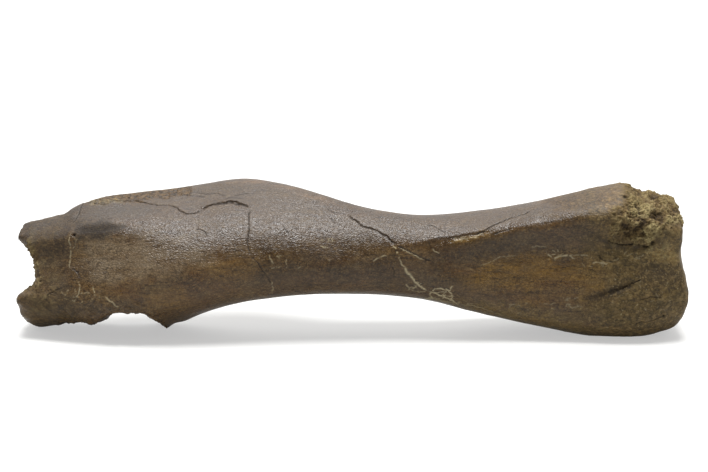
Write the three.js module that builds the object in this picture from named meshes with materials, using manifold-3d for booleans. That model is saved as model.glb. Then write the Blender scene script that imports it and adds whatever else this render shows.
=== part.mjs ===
// A fossil upper arm bone (humerus) of a duck-billed dinosaur, one solid piece of stone.
// It lies on its inner edge: X runs along the bone from the shoulder end to the elbow end,
// -Y is the rear face of the bone, and +Z is up, away from the table that it lies on.
import * as THREE from "three";
import { mergeVertices } from "three/addons/utils/BufferGeometryUtils.js";
import Module from "manifold-3d";

const wasm = await Module();
wasm.setup();

// Driving dimensions, in millimetres and degrees.
const ringCount = 62; // rings along the bone, shared out evenly between the cuts below
const pointsPerSide = 5; // points of a ring from one named point of a cut to the next
const restingHeight = -1; // everything lower than this is worn flat, where the bone rests
const shoulderTip = -251.5; // the far end of the two lobes at the shoulder
const elbowTip = 243; // the far end of the outer knuckle; the inner one reaches a little further

// Cuts across the bone, from the shoulder end to the elbow end. Each is twelve [depth, height] points:
// outer edge, outer slope, outer ridge, rear face, inner swelling, inner slope, inner edge,
// then up the front face: inner lip, inner roll, gully, outer roll, back of the outer edge.
const cuts = [
  {
    at: -240,
    outline: [
      [18, 81], [3, 79], [-9, 71], [-10, 59], [-15, 43], [-20, 25],
      [-6, 7.5], [18, -1.6], [29, 7], [17, 33], [18, 56], [26, 75.5],
    ],
  },
  {
    at: -222,
    outline: [
      [23, 84.2], [5, 82.5], [-12, 75], [-13, 61], [-20, 43], [-26, 25],
      [-10, 9.4], [14, 2], [29, 6], [18, 35], [20, 60], [32, 79],
    ],
  },
  {
    at: -217,
    outline: [
      [24, 84.8], [6, 83.7], [-12, 76.3], [-14, 61.5], [-22, 43], [-27, 25],
      [-10, 10], [14, 3], [29, 6.5], [18, 36], [20, 61], [33, 80],
    ],
  },
  {
    at: -210,
    outline: [
      [26.5, 90.2], [7, 86], [-13, 78], [-15, 62.5], [-25, 43.5], [-29, 25],
      [-11, 11], [14, 4], [29, 7], [18, 37], [21, 63], [35, 85],
    ],
  },
  {
    at: -189,
    outline: [
      [33, 96.2], [10, 91.7], [-14, 82.5], [-19, 65.5], [-30, 46], [-34, 25],
      [-12, 6], [10, 2], [26, 6], [17, 38], [23, 68], [43, 91],
    ],
  },
  {
    at: -166,
    outline: [
      [38, 98], [12, 94], [-16, 84.5], [-26, 67], [-35, 47], [-36, 26],
      [-12, 4], [8, -1], [26, 4], [17, 38], [25, 69], [48, 93],
    ],
  },
  {
    at: -144,
    outline: [
      [40, 100.2], [13, 96], [-16, 86], [-31, 68], [-39, 49], [-35, 28],
      [-12, 5], [8, -1.5], [27, 3], [19, 40], [28, 71], [50, 95],
    ],
  },
  {
    at: -114,
    outline: [
      [42, 103.4], [16, 98], [-14, 87], [-32, 69], [-38, 50], [-30, 30],
      [-8, 16], [12, 13], [28, 22], [21, 45], [32, 75], [53, 99],
    ],
  },
  {
    at: -81,
    outline: [
      [44, 107.8], [18, 101.5], [-14, 88], [-30, 69], [-34, 51], [-25, 34],
      [-5, 24.8], [13, 25.5], [26, 37], [26, 57], [37, 81], [56, 102],
    ],
  },
  {
    at: -40,
    outline: [
      [30, 103.6], [9, 97], [-15, 84], [-28, 67], [-30, 52], [-21, 37],
      [-2, 29.3], [15, 32], [27, 44], [29, 61], [35, 80], [42, 97.5],
    ],
  },
  {
    at: -3,
    outline: [
      [16, 94.3], [-1, 90], [-16, 80], [-26, 65], [-28, 52], [-20, 38],
      [-2, 29.6], [15, 32], [27, 46], [30, 61], [30, 78.5], [25, 91],
    ],
  },
  {
    at: 27,
    outline: [
      [6, 89.8], [-10, 86], [-22, 76.5], [-27, 62.5], [-26, 49], [-17, 36],
      [-1, 27.8], [16, 31], [27, 45], [30, 59], [28, 75], [19, 86.5],
    ],
  },
  {
    at: 57,
    outline: [
      [4, 87.7], [-12, 84], [-23, 75.5], [-26, 61], [-26, 46], [-18, 33],
      [-1, 23.8], [16, 27.5], [28, 41], [30, 56], [28, 73], [18, 84.5],
    ],
  },
  {
    at: 94,
    outline: [
      [6, 90.6], [-10, 88], [-23, 82], [-23.5, 62], [-27.5, 39], [-22, 24],
      [-3, 14.4], [20, 17], [35, 33], [33, 54], [35, 75], [21, 88],
    ],
  },
  {
    at: 131.5,
    outline: [
      [6, 96.8], [-12, 94.5], [-26, 89], [-22, 70], [-26, 41], [-25, 18],
      [-5, 6.4], [24, 9], [42, 28], [34, 53], [39, 77], [23, 93],
    ],
  },
  {
    at: 169,
    outline: [
      [6, 106], [-14, 103.5], [-29, 96], [-24, 72], [-28, 42], [-28, 15],
      [-9, -0.2], [28, 1], [46, 26], [34, 54], [43, 82], [26, 101],
    ],
  },
  {
    at: 184,
    outline: [
      [5, 109.6], [-15, 106.5], [-31, 97.5], [-26, 73], [-30, 43], [-30, 14],
      [-11, -0.8], [29, 0.2], [49, 27], [34, 54], [45, 83], [27, 104],
    ],
  },
  {
    at: 198.5,
    outline: [
      [4, 112.4], [-16, 109], [-32, 98], [-27, 74], [-31, 43], [-31, 14],
      [-12, -1.4], [30, -0.2], [50, 27], [33, 54], [46, 83], [28, 106],
    ],
  },
  {
    at: 208,
    outline: [
      [3, 110], [-15, 106.5], [-31, 95.5], [-27, 72], [-32, 43], [-31, 14],
      [-12, -1.3], [30, 0.4], [50, 28], [33, 54], [46, 82], [27, 104],
    ],
  },
  {
    at: 214,
    outline: [
      [3, 106], [-14, 103], [-30, 93], [-26, 71], [-32, 43], [-30, 14],
      [-12, -0.8], [30, 1.6], [49, 29], [32, 55], [45, 81], [27, 101.5],
    ],
  },
  {
    at: 224,
    outline: [
      [2, 105.3], [-13, 101.5], [-28, 90.5], [-25, 69], [-31, 43], [-27, 16],
      [-10, 0.6], [29, 4], [47, 30], [31, 56], [43, 80], [26, 100],
    ],
  },
  {
    at: 234,
    outline: [
      [2, 101.6], [-12, 98], [-25, 86], [-22, 67], [-28, 43], [-23, 19],
      [-8, 3.6], [26, 9], [41, 32], [29, 56], [38, 79], [23, 97],
    ],
  },
];

// How each end closes: each ring is this share of the last cut, this far along what is left.
const closing = [
  { share: 0.98, along: 0.42 },
  { share: 0.91, along: 0.76 },
  { share: 0.78, along: 0.94 },
  { share: 0.46, along: 1 },
];

// Two breaks go through the bone. Their outlines are [along, height], seen from the rear and above.
const lookDown = 15;
const outlineDepth = -14; // heights are measured up from this depth, at the resting height
const breakBack = -90;
const breakFront = 50;
const breakSteps = 22;

// The inner edge near the shoulder has lost a strip, which leaves a tooth and a spike standing.
const brokenInnerEdge = [
  [-208, 7], [-204.5, 11.2], [-202.8, 12.2], [-200.6, 10.6], [-199.6, 9.2], [-197.6, 8.7],
  [-194.6, 9.3], [-187.8, 11.2], [-186.9, 14], [-184.4, 16.2], [-177.5, 18.2], [-170.7, 18.2],
  [-164.7, 17.9], [-163.5, 18.9], [-160, 18.7], [-155.7, 17.4], [-151, 14.1], [-147.6, 13.2],
  [-144.6, 10.2], [-142.9, 7.2], [-140.6, 4.8], [-138.6, 7.4], [-135.6, 9.8], [-131.3, 10.2],
  [-127, 10.4], [-121, 9],
];

// The head of the bone is broken out of the shoulder end, which leaves a hollow between two lobes.
const brokenHead = [
  [-257, 74], [-252, 71.5], [-248.5, 68], [-244.5, 61.5], [-242.6, 55.5], [-241.6, 51],
  [-240.8, 45], [-241, 41], [-242.8, 37.5], [-247, 34.2], [-251.5, 32.2], [-257, 31],
];
const hollowLean = 11; // degrees that the face of this hollow is turned to the rear, so that it shows
const leanPivot = -20; // the outline is true at this depth, near the front of the bone

// The outer knuckle has lost its skin on the rear and the top. The break is sunk and lumpy.
// Its border starts this far along at the top of the knuckle, and slants back towards the shoulder.
const brokenKnuckle = { start: 203, slant: 0.55, top: 112, underside: 62, front: 14, sunk: 2.6, lumps: 1.5 };

// Lumps about 15 mm apart, from -1 to 1, for faces that are broken.
function lumpiness({ x, y, z }) {
  const across = Math.sin(0.41 * x + 1.7 * Math.sin(0.23 * z + 0.4));
  const upward = Math.sin(0.47 * z + 1.4 * Math.sin(0.31 * y + 1.1));
  return 0.5 * (across + upward);
}

// One smooth line along the bone through the same point of every cut.
function railThroughCuts(pointIndex) {
  const points = cuts.map(({ at, outline }) => new THREE.Vector3(at, ...outline[pointIndex]));
  return new THREE.CatmullRomCurve3(points, false, "catmullrom", 0.5);
}

// The closed outline of the bone at one place along its rails.
function ringAt(rails, along) {
  const corners = rails.map((rail) => rail.getPoint(along));
  const loop = new THREE.CatmullRomCurve3(corners, true, "centripetal");
  const count = rails.length * pointsPerSide;
  return Array.from({ length: count }, (_, i) => loop.getPoint(i / count));
}

function middleOf(ring) {
  const sum = ring.reduce((total, point) => total.add(point), new THREE.Vector3());
  return sum.divideScalar(ring.length);
}

function closingRings(lastRing, tip) {
  const middle = middleOf(lastRing);
  return closing.map(({ share, along }) =>
    lastRing.map((point) => {
      const moved = point.clone().lerp(middle, 1 - share);
      moved.x = THREE.MathUtils.lerp(point.x, tip, along);
      return moved;
    }),
  );
}

const bell = (offset, width) => Math.exp(-((offset / width) ** 2));

// The elbow end has two rounded knuckles with a groove between them, the inner one longer.
// The inner corner of the shoulder end is rounded off.
function shapeEnds(point) {
  const nearElbow = THREE.MathUtils.smoothstep(point.x, 195, elbowTip);
  const innerKnuckle = 6.5 * bell(point.z - 29, 19);
  const groove = 2 * bell(point.z - 63, 9);
  const nearShoulder = 1 - THREE.MathUtils.smoothstep(point.x, shoulderTip, -225);
  const innerCorner = 5 * THREE.MathUtils.clamp((40 - point.z) / 40, 0, 1) ** 4;
  point.x += nearElbow * (innerKnuckle - groove) + nearShoulder * innerCorner;
}

// Sinks the broken skin of the outer knuckle towards the middle of its ring.
function breakKnuckle(point, middle) {
  const { start, slant, top, underside, front, sunk, lumps } = brokenKnuckle;
  const edge = start + slant * (point.z - top) + 2.5 * lumpiness(point);
  const pastEdge = THREE.MathUtils.smoothstep(point.x, edge, edge + 5);
  const aboveUnderside = THREE.MathUtils.smoothstep(point.z, underside, underside + 22);
  const behindFront = 1 - THREE.MathUtils.smoothstep(point.y, front - 8, front);
  const depth = pastEdge * aboveUnderside * behindFront * (sunk + lumps * lumpiness(point));
  point.add(middle.clone().sub(point).setLength(depth));
}

function wholeBone() {
  const rails = cuts[0].outline.map((_, i) => railThroughCuts(i));
  const along = Array.from({ length: ringCount + 1 }, (_, i) => ringAt(rails, i / ringCount));
  const rings = [
    ...closingRings(along[0], shoulderTip).reverse(),
    ...along,
    ...closingRings(along.at(-1), elbowTip),
  ];
  for (const ring of rings) {
    const middle = middleOf(ring);
    for (const point of ring) {
      breakKnuckle(point, middle);
      shapeEnds(point);
    }
  }
  return closedSkin(rings);
}

// Joins neighbouring rings with triangles, and closes both ends on a middle point.
function closedSkin(rings) {
  const around = rings[0].length;
  const points = [...rings.flat(), middleOf(rings[0]), middleOf(rings.at(-1))];
  const faces = [];
  for (let ring = 0; ring < rings.length - 1; ring++) {
    for (let i = 0; i < around; i++) {
      const a = ring * around + i;
      const b = ring * around + ((i + 1) % around);
      faces.push(a, b, a + around, b, b + around, a + around);
    }
  }
  const firstMiddle = points.length - 2;
  const lastMiddle = points.length - 1;
  const lastRing = (rings.length - 1) * around;
  for (let i = 0; i < around; i++) {
    const next = (i + 1) % around;
    faces.push(firstMiddle, next, i);
    faces.push(lastMiddle, lastRing + i, lastRing + next);
  }
  const geometry = new THREE.BufferGeometry().setFromPoints(points);
  geometry.setIndex(faces);
  return geometry;
}

function solidOf(geometry) {
  const bare = geometry.clone();
  bare.deleteAttribute("normal");
  bare.deleteAttribute("uv");
  const merged = mergeVertices(bare);
  return new wasm.Manifold(
    new wasm.Mesh({
      numProp: 3,
      vertProperties: merged.attributes.position.array,
      triVerts: new Uint32Array(merged.index.array),
    }),
  );
}

function geometryOf(solid) {
  const mesh = solid.getMesh();
  const geometry = new THREE.BufferGeometry();
  geometry.setAttribute("position", new THREE.BufferAttribute(mesh.vertProperties, mesh.numProp));
  geometry.setIndex(new THREE.BufferAttribute(mesh.triVerts, 1));
  return geometry;
}

// A cutter of this outline that goes through the bone from front to rear, with a rough face.
function cutterThrough(outline, lean, roughness) {
  const shape = new THREE.Shape(outline.map((pair) => new THREE.Vector2(...pair)));
  const depth = breakFront - breakBack;
  const cutter = new THREE.ExtrudeGeometry(shape, { depth, steps: breakSteps, bevelEnabled: false });
  cutter.translate(0, 0, breakBack);
  const sideways = Math.tan(THREE.MathUtils.degToRad(lean));
  const places = cutter.attributes.position;
  for (let i = 0; i < places.count; i++) {
    const place = new THREE.Vector3().fromBufferAttribute(places, i);
    const rough = roughness * lumpiness(place.clone().multiplyScalar(1.6));
    const shifted = place.x + rough + sideways * (place.z - leanPivot);
    places.setXY(i, shifted, place.y + rough);
  }
  cutter.rotateX(THREE.MathUtils.degToRad(90 - lookDown));
  cutter.translate(0, outlineDepth, 0);
  return solidOf(cutter);
}

function innerEdgeCutter() {
  const wellBelow = -70;
  const start = [brokenInnerEdge[0][0], wellBelow];
  const end = [brokenInnerEdge.at(-1)[0], wellBelow];
  return cutterThrough([start, end, ...brokenInnerEdge.toReversed()], 0, 0.7);
}

function headCutter() {
  const wellPast = -300;
  const start = [wellPast, brokenHead[0][1]];
  const end = [wellPast, brokenHead.at(-1)[1]];
  return cutterThrough([start, end, ...brokenHead.toReversed()], hollowLean, 1.1);
}

function everythingBelowTheTable() {
  const table = new THREE.BoxGeometry(700, 300, 60);
  table.translate(0, 0, restingHeight - 30);
  return solidOf(table);
}

function brokenBone() {
  const solid = solidOf(wholeBone())
    .subtract(innerEdgeCutter())
    .subtract(headCutter())
    .subtract(everythingBelowTheTable());
  const geometry = geometryOf(solid);
  geometry.computeBoundingBox();
  const { min, max } = geometry.boundingBox;
  return geometry.translate(-(min.x + max.x) / 2, -(min.y + max.y) / 2, -min.z);
}

// The origin is the middle of the underside of the box around the bone.
const fossil = new THREE.MeshStandardMaterial({ color: 0x5a4a38, roughness: 0.55, metalness: 0 });
const humerus = new THREE.Mesh(brokenBone(), fossil);
humerus.name = "humerus";

const part = new THREE.Group();
part.add(humerus);
export default part;
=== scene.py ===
# %% [markdown]
# # A fossil humerus of a duck-billed dinosaur
# The real thing is an upper arm bone about half a metre long that has turned to stone. Its outer skin is a
# dense brown rind with fibres along the bone. Where that rind has broken off, the spongy inside shows,
# filled with yellow-green rock. Old breaks run across the shaft, some open and dark, some filled with cream
# calcite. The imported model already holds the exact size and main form, so it comes in first and stays
# untouched. All that follows is surface: a fine copy of the bone, carved and coloured, in its place.

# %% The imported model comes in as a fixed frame
import math

import bmesh
import bpy
import numpy as np
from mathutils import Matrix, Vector, noise
from mathutils.bvhtree import BVHTree
from mathutils.kdtree import KDTree


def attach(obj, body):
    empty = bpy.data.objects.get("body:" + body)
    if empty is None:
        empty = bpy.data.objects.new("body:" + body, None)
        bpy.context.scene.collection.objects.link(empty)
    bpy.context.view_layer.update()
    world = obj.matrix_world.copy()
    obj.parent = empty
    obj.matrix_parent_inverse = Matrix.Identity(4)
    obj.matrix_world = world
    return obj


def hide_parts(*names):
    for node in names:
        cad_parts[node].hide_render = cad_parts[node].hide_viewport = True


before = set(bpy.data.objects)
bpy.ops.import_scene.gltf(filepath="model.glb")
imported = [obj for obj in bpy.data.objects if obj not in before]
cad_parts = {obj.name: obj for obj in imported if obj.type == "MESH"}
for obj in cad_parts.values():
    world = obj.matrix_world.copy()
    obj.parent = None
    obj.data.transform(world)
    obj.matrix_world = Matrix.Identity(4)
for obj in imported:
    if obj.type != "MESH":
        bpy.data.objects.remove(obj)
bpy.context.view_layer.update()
plain_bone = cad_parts["humerus"]

# %% [markdown]
# ## The camera
# The photograph was taken from slightly above the bone with a long lens, so near and far parts keep almost
# the same scale. The camera is made first, because the breaks and stains further down are placed by their
# pixels in the photograph, and a ray from this camera finds where each pixel lies on the bone.

# %% The camera of the photograph
PHOTO_WIDTH = 708
PHOTO_HEIGHT = 472
PIXEL_MM = 0.745  # what one pixel of the photograph covers at the bone
LOOK_DOWN = math.radians(15)
CAMERA_AWAY_MM = 1600
AIM_MM = Vector((1.0, -6.5, 74.2))
SENSOR_MM = 36
NEAREST_METRES = 0.1
FARTHEST_METRES = 100
MM = 0.001  # one millimetre in metres

look = Vector((0, math.cos(LOOK_DOWN), -math.sin(LOOK_DOWN)))
picture_up = Vector((0, math.sin(LOOK_DOWN), math.cos(LOOK_DOWN)))
eye_mm = AIM_MM - look * CAMERA_AWAY_MM

camera_data = bpy.data.cameras.new("camera")
camera_data.sensor_width = SENSOR_MM
camera_data.lens = SENSOR_MM * CAMERA_AWAY_MM / (PHOTO_WIDTH * PIXEL_MM)
camera_data.clip_start = NEAREST_METRES
camera_data.clip_end = FARTHEST_METRES
camera = bpy.data.objects.new("camera", camera_data)
camera.location = eye_mm * MM
camera.rotation_mode = "QUATERNION"
camera.rotation_quaternion = look.to_track_quat("-Z", "Y")
bpy.context.scene.collection.objects.link(camera)
bpy.context.scene.camera = camera
print("lens in mm:", round(camera_data.lens, 1))

# %% [markdown]
# ## A fine skin over the bone
# A fossil's surface has no straight facets, and its cracks are under a millimetre wide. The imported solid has
# facets 5 to 8 mm long, so it can't hold either. A merged copy of it is rounded by subdivision, then rebuilt
# by a voxel remesh as an even net of small squares, which can be carved anywhere. The remesh also takes care
# of the long thin triangles that the cuts left at the broken ends.

# %% A merged copy, rounded and rebuilt as an even net
NET_MM = 2.25
MERGE_METRES = 1e-6
FLAT_ENOUGH = math.radians(35)
SQUARE_ENOUGH = math.radians(60)
EASING_ROUNDS = 4

bone = bpy.data.objects.new("fossil_humerus", bpy.data.meshes.new("fossil_humerus"))
bpy.context.scene.collection.objects.link(bone)
shape = bmesh.new()
shape.from_mesh(plain_bone.data)
bmesh.ops.remove_doubles(shape, verts=shape.verts, dist=MERGE_METRES)
bmesh.ops.join_triangles(
    shape, faces=shape.faces, angle_face_threshold=FLAT_ENOUGH, angle_shape_threshold=SQUARE_ENOUGH
)
shape.to_mesh(bone.data)
print("merged copy:", len(shape.verts), "vertices", len(shape.faces), "faces")
shape.free()

rounding = bone.modifiers.new("rounding", "SUBSURF")
rounding.levels = rounding.render_levels = 1
net = bone.modifiers.new("net", "REMESH")
net.mode = "VOXEL"
net.voxel_size = NET_MM * MM
easing = bone.modifiers.new("easing", "SMOOTH")
easing.factor = 0.5
easing.iterations = EASING_ROUNDS


def apply_modifiers(piece):
    """Makes a piece's modifiers part of its mesh."""
    graph = bpy.context.evaluated_depsgraph_get()
    finished = bpy.data.meshes.new_from_object(piece.evaluated_get(graph))
    piece.modifiers.clear()
    piece.data = finished


apply_modifiers(bone)
print("even net:", len(bone.data.vertices), "vertices")

# %% [markdown]
# ## From the photograph to the bone
# Each crack is a few points read off the photograph. Rays from the camera through these points land on the
# bone, which puts the crack on the real surface, whatever its slope. On the far side, which the photograph
# doesn't show, points are given by their place along the bone and their height, and land there from behind.

# %% Rays that land on the bone
BEHIND_MM = 400

shape = bmesh.new()
shape.from_mesh(bone.data)
skin_tree = BVHTree.FromBMesh(shape)


def land(start_mm, direction):
    """Where a ray first meets the bone, in millimetres, or None."""
    hit = skin_tree.ray_cast(start_mm * MM, direction)[0]
    return None if hit is None else hit / MM


def seen_at(column, row):
    """The place on the bone that the photograph shows at a pixel."""
    across = (column - PHOTO_WIDTH / 2) * PIXEL_MM
    up = (PHOTO_HEIGHT / 2 - row) * PIXEL_MM
    through = look * CAMERA_AWAY_MM + Vector((across, 0, 0)) + picture_up * up
    return land(eye_mm, through.normalized())


def far_side_at(along, height):
    """The place on the far side at a distance along the bone and a height, both in millimetres."""
    return land(Vector((along, BEHIND_MM, height)), Vector((0, -1, 0)))


def picture_of(points):
    """The pixel of the photograph at which each point appears, as columns and rows."""
    away = points - np.array(eye_mm)
    scale = CAMERA_AWAY_MM / PIXEL_MM / (away @ np.array(look))
    columns = PHOTO_WIDTH / 2 + away[:, 0] * scale
    rows = PHOTO_HEIGHT / 2 - (away @ np.array(picture_up)) * scale
    return columns, rows


print("the middle of the photograph lands at, in mm:", seen_at(PHOTO_WIDTH / 2, PHOTO_HEIGHT / 2))

# %% Lines laid on the bone
STEP_PIXELS = 0.45
WANDER_PIXELS = 0.6
WANDER_LENGTH = 3.5  # pixels from one small turn of a crack to the next
WANDER_LAYER = 7.0  # the layer of the noise that the small turns are taken from


def trace(corners, place=seen_at, wander=WANDER_PIXELS):
    """Points close together along a line through the corners, laid on the bone, with small turns."""
    found = []
    for (column, row), (next_column, next_row) in zip(corners, corners[1:]):
        length = math.hypot(next_column - column, next_row - row)
        steps = max(1, round(length / STEP_PIXELS))
        for step in range(steps):
            share = step / steps
            across = column + (next_column - column) * share
            down = row + (next_row - row) * share
            turn = noise.noise_vector(Vector((across, down, WANDER_LAYER)) / WANDER_LENGTH) * wander
            point = place(across + turn.x, down + turn.y)
            if point is not None:
                found.append(point)
    return np.array(found)


print("a point on a line every", round(STEP_PIXELS * PIXEL_MM, 2), "mm")

# %% [markdown]
# ## Open cracks
# Bones like this often broke underground and were pressed together again. The open breaks look black because
# they swallow the light, and along some of them one side stands higher. They could be painted, but then they
# would have no lips that catch the light, so they are carved, about as wide and deep as real ones, and the
# black inside them is painted shade.

# %% Open cracks, as half width, depth, lift of the upper lip, and corners
CRACKS = {
    "crest": (0.42, 1.0, 0.35, [
        (84, 203), (94, 203), (105, 204), (112, 201), (120, 200), (135, 200), (146, 203), (158, 205),
        (168, 205), (175, 207), (182, 212), (187, 214), (196, 213), (205, 208)]),
    "crest lip": (0.45, 1.5, 0.9, [
        (202, 210), (209, 206), (215, 204), (222, 203), (230, 201), (236, 202), (240, 204), (246, 206),
        (250, 208)]),
    "crest undercut": (0.8, 1.5, 0.0, [(214, 205), (222, 204), (230, 202), (237, 204), (241, 205)]),
    "down from the crest": (0.36, 0.7, 0.0, [
        (250, 208), (249, 215), (249, 230), (248, 238), (247, 243), (249, 250), (250, 255)]),
    "below the ridge": (0.34, 0.5, 0.0, [(250, 255), (257, 262), (262, 270), (268, 278), (272, 285)]),
    "above the crest one": (0.38, 0.4, 0.15, [(172, 191), (180, 192), (188, 195), (197, 196), (206, 197)]),
    "above the crest two": (0.36, 0.35, 0.1, [(196, 192), (206, 194), (216, 193), (226, 196)]),
    "crest corner": (0.34, 0.35, 0.0, [(233, 196), (240, 194), (250, 193)]),
    "crest corner lip": (0.34, 0.35, 0.1, [(224, 199), (232, 197), (243, 198)]),
    "neck": (0.42, 1.2, 0.3, [
        (347, 214), (352, 218), (358, 222), (362, 226), (368, 228), (375, 230), (382, 234), (388, 237),
        (391, 241), (397, 246)]),
    "neck start": (0.34, 0.4, 0.0, [(326, 208), (333, 212), (340, 213), (347, 214)]),
    "neck end": (0.4, 0.7, 0.0, [(397, 246), (404, 249), (412, 253), (420, 257), (427, 260), (433, 262)]),
    "elbow ridge": (0.45, 1.0, 0.2, [
        (474, 235), (484, 231), (490, 227), (500, 222), (508, 219), (516, 216), (524, 214), (532, 210)]),
    "ridge foot": (0.38, 0.5, 0.0, [(494, 234), (503, 231), (512, 228)]),
    "above the ridge": (0.34, 0.35, 0.0, [(426, 224), (434, 226), (440, 230), (447, 233)]),
    "upper lobe": (0.42, 0.7, 0.0, [(84, 203), (81, 207), (79, 213), (76, 219), (72, 224)]),
    "lower lobe": (0.42, 0.5, 0.0, [(72, 269), (76, 271), (80, 278)]),
    "ridge tick": (0.34, 0.35, 0.0, [(283, 225), (285, 229), (289, 234)]),
    "shaft tick": (0.34, 0.35, 0.0, [(331, 217), (333, 221), (336, 224)]),
    "trough tick": (0.34, 0.35, 0.0, [(196, 229), (201, 230), (205, 232), (208, 238)]),
    "neck tick": (0.36, 0.35, 0.0, [(392, 267), (394, 272), (394, 278)]),
    "under the patch": (0.55, 0.9, 0.0, [
        (606, 240), (614, 243), (622, 245), (634, 244), (646, 247), (655, 244)]),
    "groove end": (0.45, 0.7, 0.0, [(622, 290), (628, 286), (634, 283), (642, 279)]),
    "knuckle tip": (0.36, 0.5, 0.0, [(634, 325), (641, 322), (648, 322), (655, 320), (664, 316)]),
    "fossa": (0.4, 0.5, 0.0, [(598, 254), (601, 259), (606, 261), (617, 262)]),
    "fossa floor": (0.34, 0.3, 0.0, [(560, 268), (572, 266), (586, 268), (598, 272)]),
    "knuckle side": (0.36, 0.4, 0.0, [(640, 300), (652, 297), (663, 298)]),
    "left face": (0.34, 0.3, 0.0, [(46, 296), (54, 291), (62, 288)]),
}
FAR_CRACKS = {
    "far neck": (0.5, 1.2, 0.3, [(-20, 88), (2, 78), (20, 70), (34, 56), (52, 44), (60, 34)]),
    "far crest": (0.45, 1.0, 0.3, [(-190, 88), (-160, 92), (-130, 86), (-105, 90), (-82, 84), (-70, 70)]),
    "far shaft": (0.36, 0.5, 0.0, [(-96, 52), (-80, 58), (-60, 56), (-44, 62)]),
    "far elbow": (0.45, 0.9, 0.2, [(96, 74), (120, 80), (142, 78), (164, 86), (184, 84)]),
}
crack_lines = {name: trace(crack[3]) for name, crack in CRACKS.items()}
crack_lines.update({name: trace(crack[3], far_side_at) for name, crack in FAR_CRACKS.items()})
print(len(crack_lines), "cracks laid on the bone")

# %% Soft valleys, as half width, depth, painted shade and corners
VALLEYS = {
    "between the knuckles": (2.4, 1.2, 0.6, [
        (582, 302), (592, 298), (602, 295), (614, 291), (626, 287), (640, 280)]),
    "middle of the groove": (1.7, 1.0, 0.7, [(600, 296), (608, 293), (617, 290), (626, 287), (632, 284)]),
    "under the upper lobe": (2.8, 0.9, 0.6, [(72, 230), (84, 229), (96, 229), (108, 227), (120, 225)]),
    "under the elbow ridge": (3.0, 0.7, 0.25, [(560, 222), (575, 226), (590, 232), (602, 240), (616, 246)]),
    "over the inner knuckle": (3.0, 0.6, 0.3, [(626, 276), (640, 270), (654, 268), (668, 272), (678, 278)]),
}
print(len(VALLEYS), "valleys")

# %% Pits, as pixel, radius and depth
PITS = {
    "upper lobe": ((74, 235), 1.1, 1.8),
    "border of the broken patch": ((626, 196), 2.2, 1.4),
    "middle of the broken patch": ((656, 213), 2.0, 2.2),
    "foot of the broken patch": ((652, 243), 1.7, 1.5),
    "tip of the inner knuckle": ((664, 316), 0.9, 1.2),
    "end of the fossa": ((600, 258), 0.8, 0.9),
    "lower lobe": ((78, 272), 0.8, 0.8),
    "shaft": ((262, 275), 0.7, 0.7),
}
pit_places = {name: np.array(seen_at(*pixel)) for name, (pixel, _, _) in PITS.items()}
print(len(pit_places), "pits laid on the bone")

# %% [markdown]
# ## Cream veins
# In other breaks calcite crystallised and left cream lines that stand almost level with the skin. Where the
# bone was crushed they fork into fine twigs. The main veins are read off the photograph. The twigs are too
# fine for that, so they are strewn by chance over the places where the photograph shows them.

# %% Cream veins, as half width, strength and corners
VEINS = {
    "neck vein": (0.5, 0.8, [(398, 254), (399, 258), (402, 265), (408, 273)]),
    "neck vein core": (0.9, 1.0, [(403, 266), (408, 273), (414, 280), (420, 286), (428, 291)]),
    "neck vein end": (0.7, 1.0, [(428, 291), (440, 295), (452, 300), (460, 306)]),
    "neck root": (0.5, 1.0, [(393, 245), (396, 249), (398, 254)]),
    "neck twig": (0.4, 0.6, [(408, 290), (415, 291), (422, 292), (430, 290)]),
    "upper twig": (0.5, 0.9, [(430, 291), (438, 288), (446, 289), (452, 294), (455, 298)]),
    "lower twig": (0.5, 0.9, [(428, 294), (434, 299), (444, 301), (452, 303)]),
    "lower border": (0.4, 0.5, [(440, 299), (452, 303), (475, 306), (500, 315), (519, 317)]),
    "neck dash": (0.4, 0.7, [(372, 262), (380, 257), (388, 255)]),
    "neck branch": (0.5, 0.7, [(400, 248), (408, 252), (416, 256), (425, 260)]),
    "fossa corner": (0.4, 0.7, [(432, 249), (436, 252), (440, 254)]),
    "under the ridge": (0.5, 0.6, [(452, 242), (462, 239), (472, 238), (480, 234), (486, 232)]),
    "fossa one": (0.4, 0.35, [(478, 266), (486, 264), (494, 260), (500, 257), (510, 256), (520, 255)]),
    "fossa two": (0.4, 0.4, [(530, 247), (538, 246), (548, 248)]),
    "fossa three": (0.5, 0.8, [(545, 250), (550, 256), (555, 258), (562, 256), (570, 255), (575, 261)]),
    "fossa four": (0.4, 0.5, [(570, 255), (580, 255), (590, 255)]),
    "fossa five": (0.4, 0.7, [(592, 264), (598, 262), (606, 264), (613, 262)]),
    "lobe vein": (0.5, 0.5, [(72, 231), (69, 238), (70, 245), (71, 252), (70, 262), (69, 270)]),
    "lobe twig": (0.4, 0.4, [(77, 238), (75, 245), (72, 250)]),
    "lower lobe vein": (0.4, 0.6, [(79, 280), (80, 287), (79, 293), (76, 299), (74, 304)]),
    "lower lobe twig": (0.4, 0.4, [(80, 294), (84, 293), (89, 292)]),
    "trough vein": (0.4, 0.6, [(93, 286), (94, 291), (96, 297)]),
    "bite vein": (0.4, 0.8, [(103, 296), (108, 299), (113, 303), (116, 306), (120, 309)]),
    "ridge dash": (0.4, 0.6, [(268, 255), (271, 260), (274, 265)]),
    "second ridge dash": (0.4, 0.4, [(286, 258), (287, 270)]),
    "low vein": (0.4, 0.6, [(271, 281), (273, 288), (272, 295)]),
    "knuckle scratch": (0.4, 0.4, [(566, 303), (572, 308), (580, 306)]),
}
FAR_VEINS = {
    "far vein": (0.5, 0.9, [(60, 34), (74, 30), (88, 34), (100, 28)]),
    "far twig": (0.4, 0.6, [(20, 70), (28, 74), (40, 72)]),
    "far crest vein": (0.4, 0.6, [(-70, 70), (-62, 58), (-58, 46)]),
}
print(len(VEINS), "veins in the photograph,", len(FAR_VEINS), "on the far side")

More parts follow.
